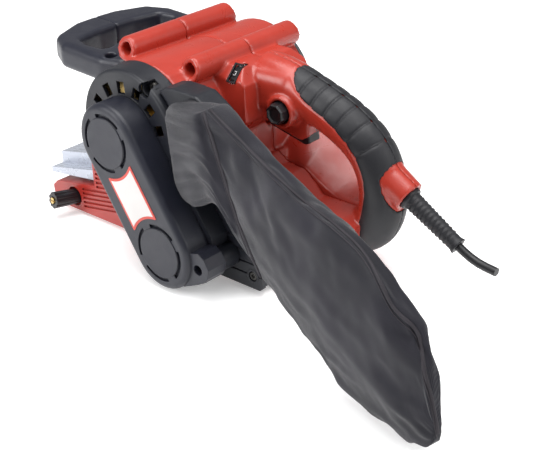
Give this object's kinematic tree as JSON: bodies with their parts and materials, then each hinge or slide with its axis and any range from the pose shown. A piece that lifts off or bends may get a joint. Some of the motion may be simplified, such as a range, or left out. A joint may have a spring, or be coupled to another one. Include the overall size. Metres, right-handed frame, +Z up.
{
  "type": "handheld belt sander",
  "caption": "Handheld belt sander: red transverse motor housing, side belt drive, front loop handle, rubber rear grip, power cord and side-hung dust bag",
  "frame": {"origin": "on the sole's ground plane, on the belt's mid-plane, straight under the motor axis", "axes": "+X forward, +Y to the machine's left (drive side), +Z up"},
  "size_m": [0.4307, 0.214, 0.1545],
  "materials": {
    "motor_housing_left": "fine moulded texture",
    "motor_housing_right": "fine moulded texture",
    "handle_grip_left": "dull",
    "handle_grip_right": "dull",
    "front_handle_left": "fine moulded texture",
    "front_handle_right": "fine moulded texture",
    "vented_end_cap": "fine moulded texture",
    "right_end_cap": "fine moulded texture",
    "drive_cover": "fine moulded texture",
    "rating_label": "matt",
    "drive_housing": "fine moulded texture",
    "side_cover": "fine moulded texture",
    "dust_chamber": "fine moulded texture",
    "dust_duct": "fine moulded texture",
    "bag_collar": "dull",
    "dust_bag": "woven",
    "base_frame": "textured paint",
    "guard_plate": "satin",
    "armature_shaft": "machined",
    "armature_core": "machined",
    "armature_windings": "enamelled",
    "commutator": "satin",
    "cooling_fan": "fine moulded texture",
    "stator_core": "machined",
    "field_coils": "enamelled",
    "bearing_bracket": "satin",
    "motor_bearings": "bright",
    "brush_holders": "satin",
    "carbon_brushes": "fine moulded texture",
    "brush_springs": "machined",
    "motor_pulley": "satin",
    "drum_pulley": "satin",
    "drive_belt": "dull",
    "drum_shaft": "machined",
    "drum_bearings": "bright",
    "drive_drum": "satin",
    "drum_lagging": "dull",
    "sanding_belt": "matt",
    "front_roller": "satin",
    "roller_axle": "machined",
    "roller_fork": "textured paint",
    "tension_slider": "machined",
    "tension_spring": "machined",
    "tension_lever": "textured paint",
    "lever_pin": "machined",
    "sole_plate": "machined",
    "sole_pad": "fine moulded texture",
    "tracking_knob": "fine moulded texture",
    "tracking_screw": "satin",
    "trigger": "fine moulded texture",
    "lock_button": "fine moulded texture",
    "switch_body": "fine moulded texture",
    "speed_dial": "fine moulded texture",
    "dial_bezel": "fine moulded texture",
    "cord_sleeve": "dull",
    "power_cable": "dull",
    "cord_clamp": "fine moulded texture",
    "speed_board": "fine moulded texture",
    "case_screws": "machined",
    "sole_screws": "machined"
  },
  "bodies": {
    "sander_body": {"motor_housing_left": "motor_housing_left", "motor_housing_right": "motor_housing_right", "handle_grip_left": "handle_grip_left", "handle_grip_right": "handle_grip_right", "front_handle_left": "front_handle_left", "front_handle_right": "front_handle_right", "vented_end_cap": "vented_end_cap", "right_end_cap": "right_end_cap", "drive_cover": "drive_cover", "rating_label": "rating_label", "drive_housing": "drive_housing", "side_cover": "side_cover", "dust_chamber": "dust_chamber", "dust_duct": "dust_duct", "base_frame": "base_frame", "guard_plate": "guard_plate", "stator_core": "stator_core", "field_coils": "field_coils", "bearing_bracket": "bearing_bracket", "motor_bearings": "motor_bearings", "brush_holders": "brush_holders", "carbon_brushes": "carbon_brushes", "brush_springs": "brush_springs", "drive_belt": "drive_belt", "drum_bearings": "drum_bearings", "tension_spring": "tension_spring", "lever_pin": "lever_pin", "sole_plate": "sole_plate", "sole_pad": "sole_pad", "switch_body": "switch_body", "dial_bezel": "dial_bezel", "cord_sleeve": "cord_sleeve", "power_cable": "power_cable", "cord_clamp": "cord_clamp", "speed_board": "speed_board", "case_screws": "case_screws", "sole_screws": "sole_screws"},
    "armature": {"armature_shaft": "armature_shaft", "armature_core": "armature_core", "armature_windings": "armature_windings", "commutator": "commutator", "cooling_fan": "cooling_fan", "motor_pulley": "motor_pulley"},
    "drum": {"drum_shaft": "drum_shaft", "drive_drum": "drive_drum", "drum_lagging": "drum_lagging", "drum_pulley": "drum_pulley"},
    "front_roller": {"front_roller": "front_roller"},
    "roller_fork": {"roller_fork": "roller_fork", "roller_axle": "roller_axle"},
    "tension_slider": {"tension_slider": "tension_slider"},
    "tension_lever": {"tension_lever": "tension_lever"},
    "sanding_belt": {"sanding_belt": "sanding_belt"},
    "tracking_knob": {"tracking_knob": "tracking_knob", "tracking_screw": "tracking_screw"},
    "trigger": {"trigger": "trigger"},
    "lock_button": {"lock_button": "lock_button"},
    "speed_dial": {"speed_dial": "speed_dial"},
    "dust_bag": {"dust_bag": "dust_bag", "bag_collar": "bag_collar"}
  },
  "joints": [
    {"name": "armature_spin", "type": "hinge", "parent": "sander_body", "child": "armature", "pos_m": [0, 0, 0.0998], "axis": [0, 1, 0], "continuous": true},
    {"name": "drum_spin", "type": "hinge", "parent": "sander_body", "child": "drum", "pos_m": [-0.0457, 0, 0.0295], "axis": [0, 1, 0], "continuous": true},
    {"name": "tension_slide", "type": "slide", "parent": "sander_body", "child": "tension_slider", "axis": [-1, 0, 0], "range_m": [0, 0.006], "deforming": ["tension_spring"]},
    {"name": "roller_tracking", "type": "hinge", "parent": "tension_slider", "child": "roller_fork", "pos_m": [0.0785, 0, 0.021], "axis": [0, 0, 1], "range_deg": [-0.35, 0.35]},
    {"name": "front_roller_spin", "type": "hinge", "parent": "roller_fork", "child": "front_roller", "pos_m": [0.10457, 0, 0.021], "axis": [0, 1, 0], "continuous": true},
    {"name": "tension_lever_swing", "type": "hinge", "parent": "sander_body", "child": "tension_lever", "pos_m": [0.03, -0.0335, 0.0225], "axis": [0, 0, 1], "range_deg": [0, 80]},
    {"name": "tracking_knob_turn", "type": "hinge", "parent": "sander_body", "child": "tracking_knob", "pos_m": [0.1013, 0.063, 0.014], "axis": [0.15, 0.9801, 0.13], "range_deg": [-180, 180]},
    {"name": "trigger_pull", "type": "hinge", "parent": "sander_body", "child": "trigger", "pos_m": [-0.053, 0, 0.105], "axis": [0, 1, 0], "range_deg": [0, 5]},
    {"name": "lock_button_push", "type": "slide", "parent": "sander_body", "child": "lock_button", "axis": [0, -1, 0], "range_m": [0, 0.0035]},
    {"name": "speed_dial_turn", "type": "hinge", "parent": "sander_body", "child": "speed_dial", "pos_m": [-0.051, 0.0208, 0.13083], "axis": [1, 0, 0], "range_deg": [-135, 135]},
    {"name": "sanding_belt_off", "type": "slide", "parent": "sander_body", "child": "sanding_belt", "axis": [0, -1, 0], "range_m": [0, 0.09]},
    {"name": "dust_bag_off", "type": "slide", "parent": "sander_body", "child": "dust_bag", "axis": [0, 1, 0], "range_m": [0, 0.03]}
  ],
  "couplings": [
    {"joint": "drum_spin", "follows": "armature_spin", "ratio": 0.33333},
    {"joint": "front_roller_spin", "follows": "armature_spin", "ratio": 0.47154},
    {"joint": "roller_tracking", "follows": "tracking_knob_turn", "ratio": 0.0019444},
    {"joint": "tension_lever_swing", "follows": "tension_slide", "rad_per_m": 232.7}
  ]
}
